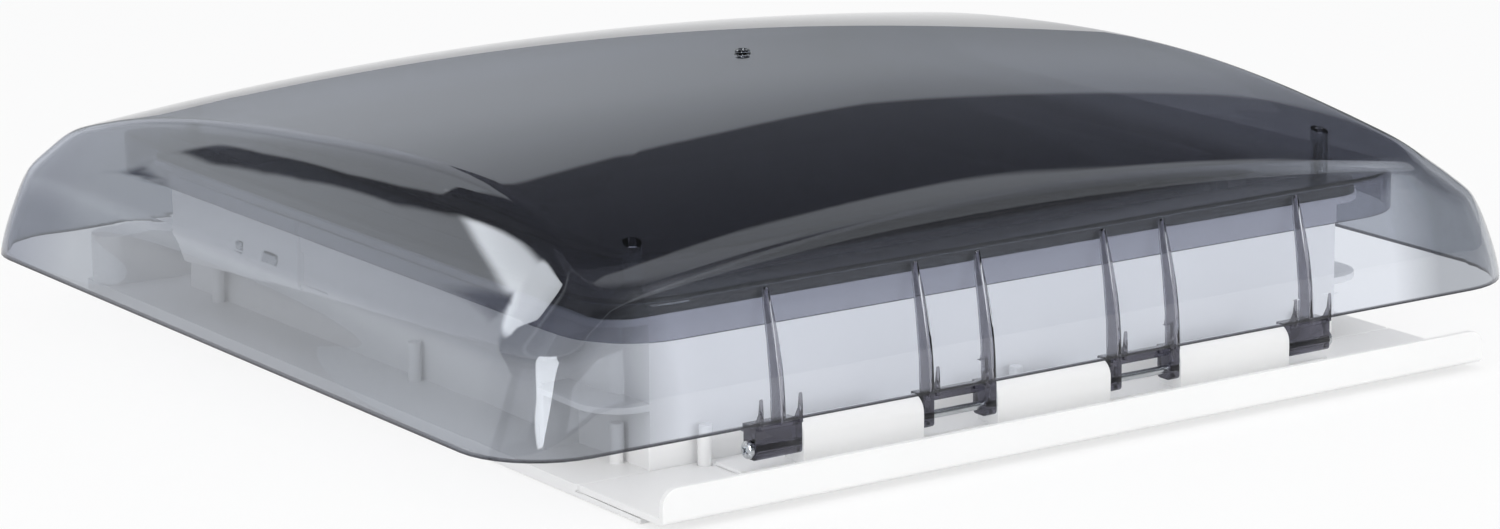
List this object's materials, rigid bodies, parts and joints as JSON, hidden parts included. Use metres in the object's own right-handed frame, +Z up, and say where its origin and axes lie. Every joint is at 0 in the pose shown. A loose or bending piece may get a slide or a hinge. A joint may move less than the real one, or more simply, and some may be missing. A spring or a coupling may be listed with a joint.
{
  "type": "roof hatch",
  "caption": "Roof hatch for a caravan or camper: white roof frame, smoked double lid hinged on one side, with a lifting bail and a knob lock.",
  "frame": {"origin": "centre of the roof cut-out, on the underside of the flange that lies on the roof", "axes": "+X along the hinge, +Y from the hinge towards the free edge of the lid, +Z up and away from the roof"},
  "size_m": [0.5934, 0.5606, 0.1388],
  "materials": {
    "white_abs": "semi-gloss moulded",
    "smoked_acrylic": "polished, smoked and see-through",
    "seal_rubber": "matt",
    "steel": "zinc plated",
    "grey_abs": "fine texture",
    "dark_polyamide": "fine texture",
    "acetal": "smooth, waxy"
  },
  "bodies": {
    "frame": {"roof_frame": "white_abs", "rain_deflector": "white_abs", "hinge_strip": "white_abs", "hinge_rod": "steel", "hinge_pivot_screws": "steel", "hinge_strip_screws": "steel", "pane_seal": "seal_rubber", "bail_pivot_pins": "steel", "keeper_left": "steel", "keeper_right": "steel"},
    "lid": {"outer_dome": "smoked_acrylic", "inner_pane": "smoked_acrylic", "pane_screws": "steel", "guide_rail_left": "dark_polyamide", "guide_rail_right": "dark_polyamide"},
    "bail": {"lifting_bail": "grey_abs", "bail_cover": "grey_abs", "slide_shoe_left": "acetal", "slide_shoe_right": "acetal"},
    "knob": {"lock_knob": "dark_polyamide", "lock_pinion": "acetal", "knob_screw": "steel"},
    "bolt_left": {"lock_bolt_left": "acetal"},
    "bolt_right": {"lock_bolt_right": "acetal"}
  },
  "joints": [
    {"name": "lid_hinge", "type": "hinge", "parent": "frame", "child": "lid", "pos_m": [0, -0.251, 0.018], "axis": [1, 0, 0], "range_deg": [0, 50]},
    {"name": "bail_pivot", "type": "hinge", "parent": "frame", "child": "bail", "pos_m": [0, -0.12, 0.064], "axis": [1, 0, 0], "range_deg": [0, 74.5]},
    {"name": "lock_turn", "type": "hinge", "parent": "bail", "child": "knob", "pos_m": [0, 0.162, 0.05], "axis": [0, 0, 1], "range_deg": [0, 90]},
    {"name": "bolt_left_slide", "type": "slide", "parent": "bail", "child": "bolt_left", "axis": [-1, 0, 0], "range_m": [0, 0.00943]},
    {"name": "bolt_right_slide", "type": "slide", "parent": "bail", "child": "bolt_right", "axis": [1, 0, 0], "range_m": [0, 0.00943]}
  ],
  "couplings": [
    {"joint": "bail_pivot", "follows": "lid_hinge", "ratio": 1.49},
    {"joint": "bolt_left_slide", "follows": "lock_turn", "m_per_rad": 0.006},
    {"joint": "bolt_right_slide", "follows": "lock_turn", "m_per_rad": 0.006}
  ]
}
